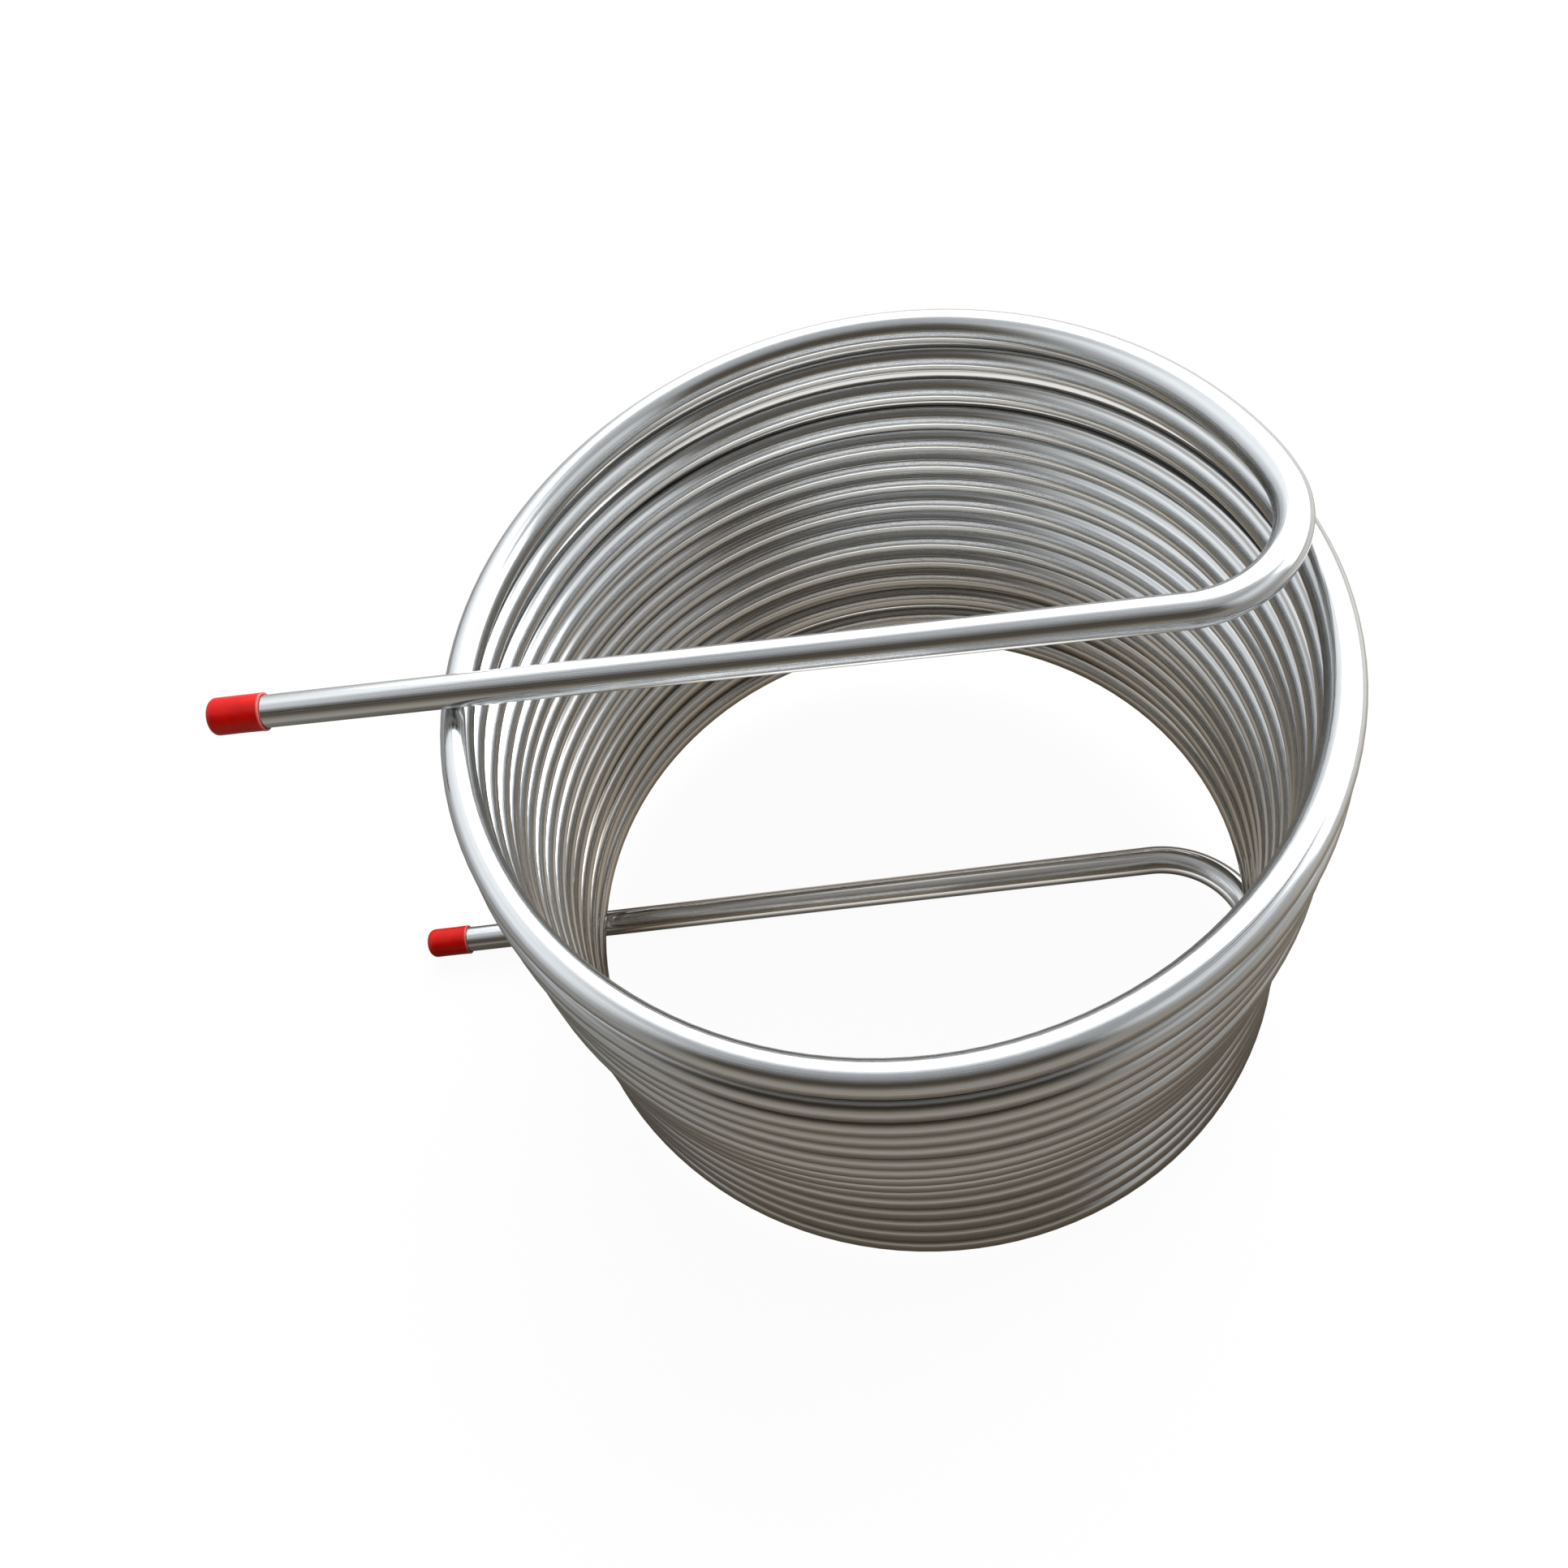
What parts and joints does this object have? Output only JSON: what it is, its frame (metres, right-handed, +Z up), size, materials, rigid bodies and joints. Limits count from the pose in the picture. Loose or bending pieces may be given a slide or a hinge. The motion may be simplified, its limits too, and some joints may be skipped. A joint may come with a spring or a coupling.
{
  "type": "immersion wort chiller",
  "caption": "Immersion wort chiller: a metal tube wound into an open coil with two straight legs leading out to one side, each end closed by a pull-off cap.",
  "frame": {"origin": "middle of the overall bounding box, at its lowest point", "axes": "+Z up along the coil's axis; the two legs run along X, and their capped ends point to -X"},
  "size_m": [0.4076, 0.32, 0.2551],
  "materials": {
    "tube": "drawn satin with fine lines along the tube",
    "cap": "glossy soft vinyl"
  },
  "bodies": {
    "chiller": {"chiller_tube": "tube"},
    "upper_cap": {"upper_cap": "cap"},
    "lower_cap": {"lower_cap": "cap"}
  },
  "joints": [
    {"name": "upper_cap_pull", "type": "slide", "parent": "chiller", "child": "upper_cap", "axis": [-0.9998, 0.0007, 0.0197], "range_m": [0, 0.08]},
    {"name": "lower_cap_pull", "type": "slide", "parent": "chiller", "child": "lower_cap", "axis": [-0.9993, -0.0348, -0.0146], "range_m": [0, 0.08]}
  ]
}
